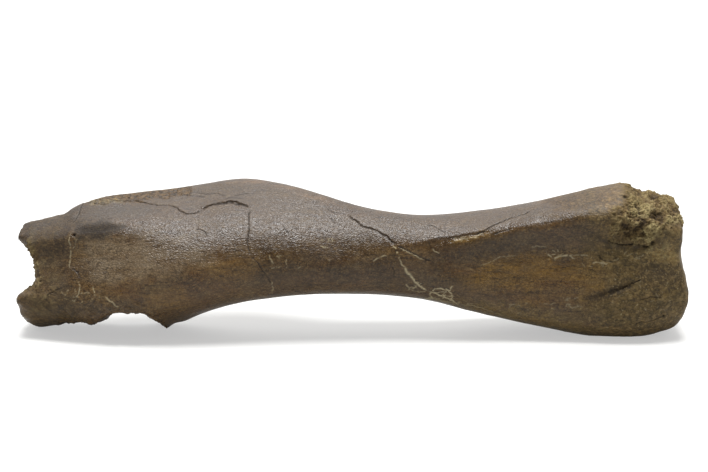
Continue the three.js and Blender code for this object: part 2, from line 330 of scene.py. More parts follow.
# %% Crushed places, as middle, half length, half height, number of twigs and strength
CRUSHED = {
    "below the neck": ((441, 294), 12, 5, 30, 1.0),
    "border below the neck": ((460, 304), 10, 2, 8, 0.6),
    "beside the neck vein": ((416, 286), 8, 4, 10, 0.7),
    "middle of the fossa": ((560, 256), 16, 4, 7, 0.5),
    "lower lobe": ((72, 298), 8, 7, 5, 0.4),
    "middle of the shaft": ((326, 250), 7, 12, 7, 0.5),
    "shaft below the crest": ((284, 262), 14, 8, 5, 0.4),
    "under the elbow ridge": ((468, 239), 12, 2, 6, 0.5),
    "end of the fossa": ((596, 260), 22, 6, 10, 0.35),
    "side of the outer knuckle": ((642, 256), 20, 6, 9, 0.3),
    "foot of the fossa": ((570, 302), 16, 6, 9, 0.35),
    "border of the fossa": ((530, 308), 30, 5, 9, 0.35),
    "inner knuckle": ((640, 300), 26, 12, 10, 0.25),
    "over the bites": ((86, 296), 20, 6, 8, 0.4),
}
FAR_CRUSHED = {
    "far neck": ((78, 32), 14, 6, 14, 0.7),
    "far crest": ((-62, 56), 10, 8, 6, 0.5),
    "far elbow": ((150, 60), 22, 8, 8, 0.4),
}
TWIG_LENGTH = 4.5
TWIG_WIDTH = 0.4
SHORTEST_TWIG = 0.4  # as a share of the longest
TWIG_BEND = 0.9  # the sharpest bend halfway along a twig, in radians
TWIG_FLATNESS = 0.6  # twigs lie along the bone more than across it
CHANCE_SEED = 7

chance = np.random.default_rng(CHANCE_SEED)
for crushed, veins in ((CRUSHED, VEINS), (FAR_CRUSHED, FAR_VEINS)):
    for name, (middle, half_length, half_height, count, strength) in crushed.items():
        for number in range(count):
            start = np.array(middle) + chance.uniform(-1, 1, 2) * (half_length, half_height)
            turn = chance.uniform(0, 2 * math.pi)
            length = chance.uniform(SHORTEST_TWIG, 1.0) * TWIG_LENGTH
            bend = start + length * np.array([math.cos(turn), TWIG_FLATNESS * math.sin(turn)])
            turn += chance.uniform(-TWIG_BEND, TWIG_BEND)
            end = bend + length * np.array([math.cos(turn), TWIG_FLATNESS * math.sin(turn)])
            corners = [tuple(start), tuple(bend), tuple(end)]
            veins[f"{name}, twig {number}"] = (TWIG_WIDTH, strength, corners)

VEIN_WANDER_PIXELS = 1.0
FEWEST_POINTS = 4  # a twig with fewer points on the bone lies off its edge and is left out
vein_lines = {name: trace(vein[2], seen_at, VEIN_WANDER_PIXELS) for name, vein in VEINS.items()}
vein_lines.update({name: trace(vein[2], far_side_at) for name, vein in FAR_VEINS.items()})
vein_lines = {name: line for name, line in vein_lines.items() if len(line) >= FEWEST_POINTS}
print(len(vein_lines), "veins and twigs laid on the bone")

# %% [markdown]
# ## Patches
# The broken and stained areas are outlines on the photograph too. Inside an outline a patch is 1, outside it
# is 0, and its border is soft or ragged, as the real one is. A patch reaches only what faces the camera, so
# it doesn't shine through to the far side of the bone.

# %% Places, smooth steps and cloudy noise
CLOUD_FALL = 0.9  # how fast the finer lumps of a cloud lose height
CLOUD_STEP = 2.1  # how many times finer each set of lumps is than the one before


def vertex_table(net_shape):
    """The places, in millimetres, and the directions of all vertices."""
    net_shape.normal_update()
    net_shape.verts.index_update()
    places = np.array([v.co for v in net_shape.verts]) / MM
    return places, np.array([v.normal for v in net_shape.verts])


def ease(low, high, values):
    """0 at low, 1 at high, level beyond both, and a smooth slope between them."""
    share = np.clip((values - low) / (high - low), 0, 1)
    return share * share * (3 - 2 * share)


def lumps(points, size, octaves=3, stretch=1.0, seed=0.0):
    """Cloudy noise around 0 whose lumps are about size millimetres across, stretched along the bone."""
    scaled = points / (size * np.array([stretch, 1, 1])) + seed
    return np.array([noise.fractal(Vector(p), CLOUD_FALL, CLOUD_STEP, octaves) for p in scaled])


places, directions = vertex_table(shape)
print("places of", len(places), "vertices")

# %% How strongly each vertex belongs to a patch
TURNED_AWAY = 0.12  # how far on both sides of the bone's visible edge a patch fades


def border_distance(columns, rows, outline):
    """Distance from each point to the outline, positive inside it."""
    nearest = np.full(len(columns), np.inf)
    inside = np.zeros(len(columns), bool)
    for (ax, ay), (bx, by) in zip(outline, outline[1:] + outline[:1]):
        across, down = bx - ax, by - ay
        share = np.clip(((columns - ax) * across + (rows - ay) * down) / (across ** 2 + down ** 2), 0, 1)
        nearest = np.minimum(nearest, np.hypot(columns - ax - share * across, rows - ay - share * down))
        crosses = (ay > rows) != (by > rows)
        slope = across / down if down else 0.0
        inside ^= crosses & (columns < ax + (rows - ay) * slope)
    return np.where(inside, nearest, -nearest)


def patch(points, directions, outline, soft=3.0, ragged=0.0):
    """1 inside the outline and 0 outside, with a soft border that ragged moves to and fro, all in pixels."""
    columns, rows = picture_of(points)
    faces = ease(-TURNED_AWAY, TURNED_AWAY, -(directions @ np.array(look)))
    return ease(-soft, soft, border_distance(columns, rows, outline) + ragged) * faces


CREST_EDGE = [
    (84, 203), (92, 204), (103, 204), (113, 200), (125, 202), (138, 201), (150, 198), (163, 199),
    (176, 196), (190, 194), (190, 184), (160, 182), (120, 186), (84, 192)]
BROKEN_KNUCKLE = [
    (624, 180), (626, 194), (622, 205), (612, 213), (608, 224), (610, 238), (624, 244), (640, 245),
    (655, 242), (664, 230), (684, 226), (686, 190), (650, 184)]
BROKEN_BORDER = [(56, 332), (62, 310), (98, 303), (120, 304), (140, 301), (156, 309), (172, 334), (120, 336)]
HOLLOW = [(30, 246), (44, 248), (48, 268), (42, 288), (30, 292), (22, 270)]
HOLLOW_RIM = [(24, 243), (33, 246), (37, 255), (39.5, 267), (38, 280), (33, 291), (24, 294)]
print("share of the skin in the broken patch:", round(patch(places, directions, BROKEN_KNUCKLE).mean(), 3))

# %% [markdown]
# ## Finer squares where the detail is
# The even net is right for the smooth skin, but a crack needs several squares across its width. Only the
# faces near a crack, a vein or a broken patch are split, once or twice, so the piece stays light.

# %% Distance to lines, and faces split near them
def distance_to(points, lines, reach):
    """Distance from each point to the nearest line, at most reach, and its share of the way along it."""
    spots = np.concatenate(lines)
    shares = np.concatenate([np.linspace(0, 1, len(line)) for line in lines])
    tree = KDTree(len(spots))
    for index, spot in enumerate(spots):
        tree.insert(spot, index)
    tree.balance()
    distance = np.full(len(points), float(reach))
    along = np.full(len(points), 0.5)
    near = ((points > spots.min(0) - reach) & (points < spots.max(0) + reach)).all(1)
    for index in np.flatnonzero(near):
        _, spot, gap = tree.find(points[index])
        if gap < reach:
            distance[index] = gap
            along[index] = shares[spot]
    return distance, along


def split_near(net_shape, lines, reach, patches):
    """Splits each face that has a corner within reach of a line or inside a patch into four."""
    places, directions = vertex_table(net_shape)
    wanted = distance_to(places, lines, reach)[0] < reach
    for outline in patches:
        wanted |= patch(places, directions, outline) > 0.5
    edges = {e for f in net_shape.faces if any(wanted[v.index] for v in f.verts) for e in f.edges}
    bmesh.ops.subdivide_edges(net_shape, edges=list(edges), cuts=1, use_grid_fill=True)
    print("net after a split:", len(net_shape.verts), "vertices")


middle_edge = np.median([edge.calc_length() for edge in shape.edges]) / MM
print("middle edge of the even net in mm:", round(float(middle_edge), 2))

# %% The elbow ridge is rounded, and the net is split twice
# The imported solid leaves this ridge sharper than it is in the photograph.
ROUNDED_RIDGE = [(540, 186), (612, 184), (612, 226), (575, 230), (535, 228)]
RIDGE_SOFT_PIXELS = 6
RIDGE_ROUNDS = 24
FIRST_REACH_MM = 2.0
SECOND_REACH_MM = 0.7

ridge = patch(places, directions, ROUNDED_RIDGE, soft=RIDGE_SOFT_PIXELS)
on_ridge = [vertex for vertex, share in zip(shape.verts, ridge) if share > 0.5]
for _ in range(RIDGE_ROUNDS):
    bmesh.ops.smooth_vert(
        shape, verts=on_ridge, factor=0.5, use_axis_x=True, use_axis_y=True, use_axis_z=True
    )
pit_lines = [place.reshape(1, 3) for place in pit_places.values()]
every_line = [*crack_lines.values(), *vein_lines.values(), *pit_lines]
split_near(shape, every_line, FIRST_REACH_MM, [CREST_EDGE, BROKEN_KNUCKLE, BROKEN_BORDER, HOLLOW])
split_near(shape, every_line, SECOND_REACH_MM, [BROKEN_KNUCKLE, CREST_EDGE])
places, directions = vertex_table(shape)
print("ridge rounded at", len(on_ridge), "vertices")

# %% [markdown]
# ## Carving
# Every change of form is a height in millimetres along the direction that the skin faces. Heights from the
# broad unevenness, the fibres, the broken patches and the cracks are summed first and applied once, so that
# no step disturbs the directions that the next one needs. The underside that the bone lies on stays flat.

# %% Broad unevenness and fibres, as height, size of the lumps, octaves, stretch and seed
UNEVENNESS = {
    "broad": (0.45, 30, 3, 2.2, 0.0),
    "middling": (0.16, 7, 3, 3.0, 11.0),
    "fibres": (0.07, 2.6, 2, 7.0, 23.0),
}
height = np.zeros(len(places))
for rise, size, octaves, stretch, seed in UNEVENNESS.values():
    height += rise * lumps(places, size, octaves, stretch, seed)
print("unevenness in mm, lowest and highest:", round(height.min(), 2), round(height.max(), 2))

# %% Where the rind is gone or worn
crumbs = lumps(places, 1.7, 3, seed=31.0)
clods = lumps(places, 6.5, 3, seed=47.0)
SEAM_WIDTH = 0.09
seams = np.exp(-((lumps(places, 5.0, 2, seed=83.0) / SEAM_WIDTH) ** 2))
along_bone = places[:, 0]
towards_shoulder = -directions[:, 0]
crest_edge = patch(places, directions, CREST_EDGE, soft=1.2, ragged=4 * clods + 2 * crumbs)
broken_knuckle = patch(places, directions, BROKEN_KNUCKLE, soft=9.0, ragged=7 * clods + 3 * crumbs)
broken_border = patch(places, directions, BROKEN_BORDER, soft=3.0)

ELBOW_FROM_MM = 150
ELBOW_TO_MM = 200
SHOULDER_FROM_MM = -222
SHOULDER_TO_MM = -240
elbow_end = ease(ELBOW_FROM_MM, ELBOW_TO_MM, along_bone + 14 * clods)
shoulder_end = ease(SHOULDER_FROM_MM, SHOULDER_TO_MM, along_bone + 8 * clods)

HOLLOW_FROM_MM = -242
HOLLOW_TO_MM = -214
LOBE_END_MM = -238
in_hollow = ease(0.1, 0.5, towards_shoulder)
in_hollow *= ease(HOLLOW_TO_MM, HOLLOW_TO_MM - 8, along_bone + 4 * clods)
in_hollow *= ease(HOLLOW_FROM_MM, HOLLOW_FROM_MM + 5, along_bone + 4 * clods)
hollow_rim = patch(places, directions, HOLLOW_RIM, soft=1.2, ragged=2 * crumbs)
in_hollow = np.maximum(in_hollow, hollow_rim)
lobe_ends = ease(0.4, 0.8, towards_shoulder) * ease(LOBE_END_MM, LOBE_END_MM - 4, along_bone)
print("share of the skin in the hollow:", round(in_hollow.mean(), 3))

# %% The spongy inside crumbles, as rise, crumbs, clods and seams in millimetres
CRUMBLING = [
    (crest_edge, -0.7, 0.8, 0.7, 0.0),
    (broken_knuckle, -0.2, 0.8, 2.2, -0.3),
    (broken_border, 0.0, 0.6, 2.0, -0.5),
    (in_hollow, 0.0, 1.0, 1.4, -0.5),
    (lobe_ends, 0.0, 0.4, 0.9, 0.0),
    (elbow_end + shoulder_end, 0.0, 0.16, 0.45, 0.0),
]
for area, rise, of_crumbs, of_clods, of_seams in CRUMBLING:
    height += area * (rise + of_crumbs * crumbs + of_clods * clods + of_seams * seams)
print("with the crumbling, lowest and highest:", round(height.min(), 2), round(height.max(), 2))


# %% Valleys and pits
def fade_out(along, at_start, at_end):
    """1 along a line, with a smooth fall to 0 over the given shares at its start and its end."""
    return ease(0, at_start, along) * ease(0, at_end, 1 - along)


def hump(distance, width, power=2):
    """1 on a line, and close to 0 from about twice the width away."""
    return np.exp(-((distance / width) ** power))


VALLEY_REACH = 4  # times its half width
# how dark a pit is painted, as shade
PIT_SHADE = 0.9
# crack holds the painted shade of cracks, valleys and pits
crack = np.zeros(len(places))
uneven = 0.75 + 0.5 * lumps(places, 3.5, 2, seed=5.0)
for width, depth, valley_shade, corners in VALLEYS.values():
    reach = VALLEY_REACH * width
    distance, along = distance_to(places, [trace(corners)], reach)
    valley = fade_out(along, 0.3, 0.15) * (distance < reach) * hump(distance, width)
    height -= depth * valley
    # the valley is painted darker, as shade
    crack = np.maximum(crack, valley_shade * valley * np.clip(uneven, 0.3, 1.2))
for name, (_, radius, depth) in PITS.items():
    away = np.linalg.norm(places - pit_places[name], axis=1)
    bowl = hump(away, radius, power=3) * np.clip(uneven, 0.4, 1.1)
    height -= depth * bowl
    # the pit is painted darker, as shade
    crack = np.maximum(crack, PIT_SHADE * bowl)
print("with the pits, lowest and highest:", round(height.min(), 2), round(height.max(), 2))


# %% Cracks, some with an upper lip that stands higher
def line_height(line):
    """The height of a line over the place of each vertex along the bone."""
    in_order = line[np.argsort(line[:, 0])]
    return np.interp(along_bone, in_order[:, 0], in_order[:, 2])


CRACK_FADE = 0.08  # the share of a crack over which each of its ends runs out
# how dark a crack's groove is painted, as shade
CRACK_SHADE = 1.25
LIP_REACH_MM = 8.0
LIP_WIDTH_MM = 3.5
for name, (width, depth, lift, _) in {**CRACKS, **FAR_CRACKS}.items():
    distance, along = distance_to(places, [crack_lines[name]], LIP_REACH_MM)
    fade = fade_out(along, CRACK_FADE, CRACK_FADE)
    groove = hump(distance, width) * fade * np.clip(uneven, 0.3, 1.2)
    height -= depth * groove
    # the groove is painted dark, as shade
    crack = np.maximum(crack, np.clip(CRACK_SHADE * groove, 0, 1))
    if lift:
        above = ease(-0.3, 0.6, places[:, 2] - line_height(crack_lines[name]))
        height += lift * above * fade * hump(distance, LIP_WIDTH_MM) * (distance < LIP_REACH_MM)
print("with the cracks, lowest and highest:", round(height.min(), 2), round(height.max(), 2))

# %% A low ledge below the elbow ridge, where a layer of the rind ends
LEDGE = [
    (396, 250), (418, 246), (436, 240), (455, 237), (470, 234), (484, 231), (500, 226), (520, 219),
    (545, 216), (575, 216), (600, 214)]
LEDGE_DROP_MM = 1.1
LEDGE_WIDTH_MM = 5.0
LEDGE_REACH_MM = 14.0
ledge_line = trace(LEDGE)
distance, along = distance_to(places, [ledge_line], LEDGE_REACH_MM)
level = np.interp(along_bone, ledge_line[:, 0], ledge_line[:, 2])
below = ease(-0.8, 0.8, level - places[:, 2]) * (distance < LEDGE_REACH_MM)
ledge = below * fade_out(along, 0.12, 0.35) * hump(distance, LEDGE_WIDTH_MM) * np.clip(uneven, 0.5, 1.2)
height -= LEDGE_DROP_MM * ledge
print("deepest part of the ledge in mm:", round(LEDGE_DROP_MM * ledge.max(), 2))

# %% Veins that stand a little proud, in dashes where the mineral has dropped out
VEIN_RISE_MM = 0.12
VEIN_REACH_MM = 2.0
VEIN_FADE = 0.15
vein = np.zeros(len(places))
dashes = ease(-0.55, -0.1, lumps(places, 2.4, 2, seed=61.0))
swelling = np.clip(uneven + 0.15, 0.6, 1.5)
every_vein = {**VEINS, **FAR_VEINS}
kinds = sorted({every_vein[name][:2] for name in vein_lines})
for width, strength in kinds:
    alike = [line for name, line in vein_lines.items() if every_vein[name][:2] == (width, strength)]
    distance, along = distance_to(places, alike, VEIN_REACH_MM)
    core = hump(distance, width * swelling) * fade_out(along, VEIN_FADE, VEIN_FADE) * dashes
    vein = np.maximum(vein, strength * core)
height += VEIN_RISE_MM * vein
print("lowest and highest change in mm:", round(height.min(), 2), round(height.max(), 2))

# %% The heights are applied, and the resting faces stay level
REST_MM = 1.5
off_the_table = ease(0.0, REST_MM, places[:, 2])
facing_down = ease(0.2, 0.7, -directions[:, 2])
free = np.maximum(off_the_table, 1 - facing_down)
carved = places + directions * (height * free)[:, None]
carved[:, 2] = np.maximum(carved[:, 2], 0.0)
for vertex, place in zip(shape.verts, carved):
    vertex.co = Vector(place) * MM
for face in shape.faces:
    face.smooth = True
bmesh.ops.triangulate(shape, faces=[f for f in shape.faces if len(f.verts) > 4])
shape.to_mesh(bone.data)
shape.free()
print("carved skin:", sum(len(f.vertices) - 2 for f in bone.data.polygons), "triangles")

# %% [markdown]
# ## Colour zones
# Iron, manganese and rock dust stained the bone unevenly. Some zones also paint shade: on the skin that faces
# up, in cracks, valleys and pits, in the hollows of the broken rock, in grooves, between the knuckles and
# under the broken patch. Others paint light on the raised crumbs of the broken rock and a grey sheen beside
# the upper lobe. The zones are patches with very soft borders, kept as numbers on the vertices, and the
# material reads them by name. They could be painted as an image, but numbers on the vertices stay sharp at any
# size and need no unwrapping.

# %% Brown and yellow stains, each as outline, softness and strength
OCHRE = {
    "floor of the fossa": ([
        (462, 284), (500, 270), (540, 264), (590, 262), (606, 272), (600, 288), (560, 290), (520, 288)],
        9, 0.7),
    "top of the fossa": ([(478, 270), (496, 256), (530, 252), (560, 258), (540, 266), (500, 268)], 6, 0.6),
    "shaft": ([(205, 266), (240, 262), (256, 274), (240, 288), (212, 288)], 9, 0.25),
    "spike": ([(142, 292), (186, 288), (190, 304), (168, 316), (148, 308)], 8, 0.6),
    "end of the fossa": ([(575, 285), (606, 282), (606, 296), (580, 300)], 5, 0.6),
    "outer knuckle": ([(645, 246), (668, 240), (680, 250), (678, 262), (650, 262)], 5, 0.8),
    "border of the fossa": ([(520, 296), (548, 296), (552, 312), (530, 314)], 7, 0.5),
    "foot of the ridge": ([(450, 238), (470, 235), (488, 229), (490, 234), (472, 241), (454, 245)], 3, 0.9),
}
TAN = {
    "back of the crest": ([
        (222, 178), (260, 176), (292, 183), (345, 204), (328, 203), (298, 195), (262, 184), (225, 184)],
        2.5, 0.8),
    "beside the broken patch": ([(596, 186), (622, 184), (624, 202), (608, 212), (598, 204)], 5, 0.5),
    "upper elbow": ([(520, 198), (560, 190), (600, 182), (600, 202), (560, 208), (530, 208)], 6, 0.15),
    "top of the shaft": ([(360, 204), (440, 208), (540, 196), (540, 202), (440, 215), (360, 212)], 4, 0.4),
}
# lighter in the trough
PALE = {
    "trough": ([(84, 238), (150, 236), (205, 240), (212, 256), (160, 276), (100, 282), (80, 262)], 9, 1.0),
}
OLIVE = {
    "lower lobe": ([(16, 290), (70, 290), (80, 326), (30, 332)], 10, 0.25),
    "lower border": ([(420, 300), (520, 304), (600, 326), (600, 340), (500, 330)], 6, 0.6),
}
PALE_LUMPS = {
    "flat in the broken patch": ([(628, 206), (640, 202), (651, 208), (648, 217), (634, 217)], 2.5, 0.9),
    "foot of the broken patch": ([(642, 230), (651, 223), (661, 226), (659, 237), (647, 240)], 2.0, 1.0),
    "edge of the broken patch": ([(664, 218), (680, 214), (682, 222), (668, 226)], 2.0, 0.8),
    "outer knuckle": ([(648, 246), (668, 242), (680, 250), (678, 262), (652, 262)], 5, 0.4),
    "rim of the crest": ([(88, 200), (100, 199), (122, 197), (124, 201), (104, 204), (90, 205)], 1.5, 0.25),
}
print("light stains:", sum(map(len, (OCHRE, TAN, PALE, OLIVE, PALE_LUMPS))))

# %% Dark and grey stains, with painted shade and a painted sheen, and where the skin is worn
# umber stains, and painted shade in grooves, between the knuckles and under the broken patch
UMBER_AND_SHADE = {
    "top of the fossa": ([
        (425, 244), (470, 240), (530, 232), (590, 226), (600, 240), (540, 250), (480, 262), (430, 268)],
        7, 0.65),
    "neck": ([(372, 256), (420, 262), (470, 280), (440, 300), (380, 296)], 9, 0.45),
    "shaft": ([(255, 244), (330, 240), (380, 262), (340, 290), (262, 292)], 10, 0.45),
    "upper elbow": ([(540, 190), (600, 180), (612, 184), (604, 208), (550, 208)], 6, 0.4),
    # painted shade in the groove under the upper lobe
    "groove under the upper lobe": ([(74, 222), (104, 220), (126, 226), (104, 236), (76, 236)], 5, 1.0),
    "front of the upper lobe": ([(24, 226), (70, 226), (66, 258), (40, 256)], 8, 0.6),
    "over the inner knuckle": ([(640, 262), (680, 262), (684, 284), (640, 284)], 7, 0.6),
    # painted shade between the knuckles
    "between the knuckles": ([
        (584, 296), (604, 291), (626, 284), (632, 288), (612, 296), (590, 303)], 3, 0.9),
    # painted shade under the ledge of the broken patch
    "under the broken patch": ([
        (600, 236), (620, 240), (655, 242), (655, 249), (622, 249), (600, 244)], 3, 0.7),
    "spike": ([(160, 306), (178, 308), (184, 318), (168, 330), (156, 316)], 5, 0.4),
    "top of the upper lobe": ([(20, 222), (60, 212), (78, 206), (76, 232), (24, 244)], 6, 0.9),
    "lower lobe": ([(20, 292), (66, 290), (76, 312), (40, 326)], 8, 0.4),
    # painted shade in the middle of the groove
    "middle of the groove": ([(76, 224), (104, 223), (122, 228), (104, 236), (78, 236)], 4, 0.6),
}
# grey stains, painted shade in the groove under the upper lobe and a painted sheen beside it
ASH_SHADE_AND_SHEEN = {
    # a grey tint painted as the sheen beside the upper lobe
    "beside the upper lobe": ([
        (84, 206), (110, 205), (150, 209), (150, 216), (100, 220), (82, 218)], 4, 0.7),
    "top of the upper lobe": ([(24, 222), (60, 214), (80, 206), (78, 216), (40, 232), (22, 240)], 6, 0.6),
    "between the lobes": ([(40, 262), (68, 262), (66, 288), (40, 286)], 6, 0.5),
    "lower lobe": ([(24, 296), (70, 286), (72, 316), (40, 324)], 8, 0.15),
    # painted shade in the groove under the upper lobe
    "groove under the upper lobe": ([(76, 222), (104, 220), (126, 226), (104, 238), (72, 240)], 5, 0.8),
    "neck": ([(335, 222), (392, 226), (388, 246), (340, 244)], 7, 0.3),
    "foot of the neck": ([(335, 262), (392, 262), (388, 290), (338, 290)], 10, 0.3),
}
WORN = {
    "upper lobe": ([(16, 216), (60, 212), (74, 214), (70, 258), (30, 262)], 8, 0.9),
    "lower lobe": ([(16, 286), (72, 284), (84, 330), (30, 334)], 10, 0.8),
    # its dark rubble is partly painted shade in the groove
    "groove under the upper lobe": ([(70, 222), (104, 220), (126, 226), (106, 240), (72, 242)], 5, 0.9),
    "shaft": ([(300, 240), (336, 236), (340, 262), (306, 266)], 8, 0.5),
    "upper elbow": ([(530, 192), (600, 180), (626, 180), (612, 214), (556, 212)], 7, 0.8),
}
OLIVE_END = 0.8
WORN_END = 0.85
print("dark stains:", len(UMBER_AND_SHADE) + len(ASH_SHADE_AND_SHEEN), "worn places:", len(WORN))


# %% The zones are kept on the vertices
def stain(areas):
    """The sum of soft patches, each with its own softness and strength."""
    total = np.zeros(len(places))
    for outline, soft, strength in areas.values():
        total += strength * patch(places, directions, outline, soft=soft, ragged=soft * clods)
    return np.clip(total, 0, 1)


FLANK = 0.25  # the upward share of the direction up to which the skin keeps its own colour
CROWN = 0.7  # the upward share of the direction from which it has the full painted shade
FAR_STAIN = 0.7
FAR_STAIN_MM = 60
broken = np.clip(broken_knuckle + in_hollow, 0, 1)
worn = np.maximum(stain(WORN), WORN_END * elbow_end)
# The skin that faces up is painted darker by its direction, as painted shade, except where worn or broken.
upward_shade = ease(FLANK, CROWN, directions[:, 2]) * (1 - worn) * (1 - broken)
far_cloud = lumps(places, FAR_STAIN_MM, 3, stretch=1.6, seed=71.0)
far_side = FAR_STAIN * ease(0.0, 0.4, directions[:, 1])
raised = clods + 0.5 * crumbs
zones = {
    # painted shade of cracks, valleys and pits
    "crack": crack,
    "vein": vein,
    "matrix": broken,
    "ochre": np.clip(stain(OCHRE) + far_side * ease(0.1, 0.5, far_cloud), 0, 1),
    # umber stains and painted shade
    "umber_and_shade": np.clip(stain(UMBER_AND_SHADE) + far_side * ease(0.1, 0.5, -far_cloud), 0, 1),
    # grey stains, painted shade and a painted sheen
    "ash_shade_and_sheen": stain(ASH_SHADE_AND_SHEEN),
    "tan": stain(TAN),
    "rust": crest_edge,
    # pale lumps, and painted light on the raised crumbs of the broken rock
    "pale_lump_and_raised_light": np.clip(0.55 * broken * ease(0.0, 0.4, raised) + stain(PALE_LUMPS), 0, 1),
    # painted shade in the low parts and seams of the broken rock
    "rubble_hollow_shade": broken * np.clip(0.3 * seams + ease(0.1, 0.5, -raised), 0, 1),
    "pale": stain(PALE),
    "olive": np.maximum(stain(OLIVE), OLIVE_END * elbow_end),
    "worn": worn,
    # painted shade on the skin that faces up
    "upward_shade": upward_shade,
    "fibrous": (1 - 0.9 * worn) * (1 - broken),
    # light grains, fewer where the skin that faces up is painted darker
    "not_upward": 1 - 0.8 * upward_shade,
}
for name, amounts in zones.items():
    layer = bone.data.attributes.new(name, "FLOAT", "POINT")
    layer.data.foreach_set("value", amounts.astype(np.float32))
print("zones:", {name: round(float(amounts.mean()), 3) for name, amounts in zones.items()})

# %% [markdown]
# ## The material
# Permineralised bone is apatite and silica, often coated with a clear resin so that it doesn't crumble. Such
# a film gives the eye a satin sheen, so the index of refraction is the resin's, 1.5, and the roughness is
# around a third and higher where the skin is worn or broken. Fibres run along the bone, and the rind is
# crazed into pebbles about two millimetres wide. The skin that faces up is painted darker by its direction,
# as painted shade. Every pattern reads the object's own coordinates, so it stays on the bone everywhere.

# %% Small helpers for colours and nodes
def linear(hex_colour):
    """An sRGB hex colour as the linear values that a shader takes."""
    shares = [int(hex_colour[place:place + 2], 16) / 255 for place in (1, 3, 5)]
    return (*[s / 12.92 if s <= 0.04045 else ((s + 0.055) / 1.055) ** 2.4 for s in shares], 1.0)


def add_node(tree, kind, sockets=None, out=0, **settings):
    """Adds a shader node, fills its sockets with values or links, and returns one of its outputs."""
    node = tree.nodes.new("ShaderNode" + kind)
    for name, value in settings.items():
        setattr(node, name, value)
    for name, value in (sockets or {}).items():
        if isinstance(value, bpy.types.NodeSocket):
            tree.links.new(value, node.inputs[name])
        else:
            node.inputs[name].default_value = value
    return node.outputs[out] if len(node.outputs) else node


print("middle grey as a linear value:", round(linear("#808080")[0], 3))

# %% Colours of fossil bone, and its coordinates in millimetres
RIND = "#644b2a"
RIND_RED = "#66492b"
RIND_GREY = "#63533b"
# grey of stains, of painted shade and of a painted sheen
ASH_SHADE_SHEEN_GREY = "#453c32"
# painted shade for the skin that faces up
UPWARD_SHADE_BROWN = "#352a20"
RIND_LIGHT = "#937b50"
# the lighter tone of the trough
TROUGH_PALE = "#8a7961"
# dark stains and grains, and painted shade in the umber and broken rock hollow layers
DARK_STAIN_AND_SHADE = "#251a10"
OCHRE_STAIN = "#94702f"
TAN_STAIN = "#86694b"
RUST_STAIN = "#6e542f"
OLIVE_STAIN = "#7f6b2c"
CALCITE = "#c9bb96"
# painted shade in cracks, valleys and pits
CRACK_SHADE_BLACK = "#100b07"
ROCK_FILL = "#6c5836"
# pale lumps, and painted light on the raised crumbs of the broken rock
ROCK_LUMP_AND_LIGHT = "#ab9b6c"

fossil = bpy.data.materials.new("permineralised bone")
fossil.use_nodes = True
tree = fossil.node_tree
tree.nodes.clear()
own = add_node(tree, "TexCoord", out="Object")
in_mm = add_node(tree, "Mapping", {"Vector": own, "Scale": (1 / MM, 1 / MM, 1 / MM)})
stretched = {
    "fibres": add_node(tree, "Mapping", {"Vector": in_mm, "Scale": (0.12, 1, 1)}),
    "bands": add_node(tree, "Mapping", {"Vector": in_mm, "Scale": (0.35, 1, 1)}),
    "pebbles": add_node(tree, "Mapping", {"Vector": in_mm, "Scale": (0.6, 1, 1)}),
    "even": in_mm,
}
print("linear rind colour:", [round(share, 3) for share in linear(RIND)])

# %% Patterns, as the stretch they follow, the size of their lumps in millimetres, detail and harshness
# Real fibres and grains are finer, down to a few tenths of a millimetre. A pixel covers three quarters of a
# millimetre, so fibre, grit and grain are coarser here, 1.5 to 2.2 mm wide, to show as two or three pixels.
CLOUDS = {
    "broad": ("bands", 28, 3, 0.55),
    "mottle": ("bands", 7, 4, 0.6),
    "grain": ("pebbles", 2.2, 3, 0.7),
    "fibre": ("fibres", 1.5, 3, 0.6),
    "streak": ("fibres", 5, 4, 0.6),
    "grit": ("even", 1.5, 3, 0.65),
    "rubble": ("even", 3.2, 4, 0.6),
    "crazed places": ("bands", 16, 3, 0.6),
}
pattern = {
    name: add_node(tree, "TexNoise", {
        "Vector": stretched[stretch], "Scale": 1 / size, "Detail": detail, "Roughness": harshness})
    for name, (stretch, size, detail, harshness) in CLOUDS.items()
}
print("patterns:", sorted(pattern))

# %% Crazing follows the borders of cells, bent so that no line is straight
PEBBLE_MM = 1.6
BEND_MM = 2.5
BEND_LENGTH_MM = 4
drift = add_node(
    tree, "TexNoise", {"Vector": in_mm, "Scale": 1 / BEND_LENGTH_MM, "Detail": 3.0}, out="Color"
)
bent = add_node(
    tree, "VectorMath", {0: drift, 1: (BEND_MM,) * 3, 2: stretched["pebbles"]}, operation="MULTIPLY_ADD"
)
pattern["pebble"] = add_node(
    tree, "TexVoronoi", {"Vector": bent, "Scale": 1 / PEBBLE_MM}, out="Distance", feature="DISTANCE_TO_EDGE"
)
on_bone = {name: add_node(tree, "Attribute", out="Fac", attribute_name=name) for name in zones}
on_bone["crazed places"] = add_node(tree, "MapRange", {
    "Value": pattern["crazed places"], "From Min": 0.42, "From Max": 0.6, "To Min": 0.5})
print("zones that the material reads:", sorted(on_bone))

# %% [markdown]
# ## Layers of colour
# The bone took on its colours one over another: the mineral first, then stains. The painted shade of cracks,
# valleys and pits lies over them last. A table holds the layers in that order, because a long row of
# hand-linked nodes would hide it.

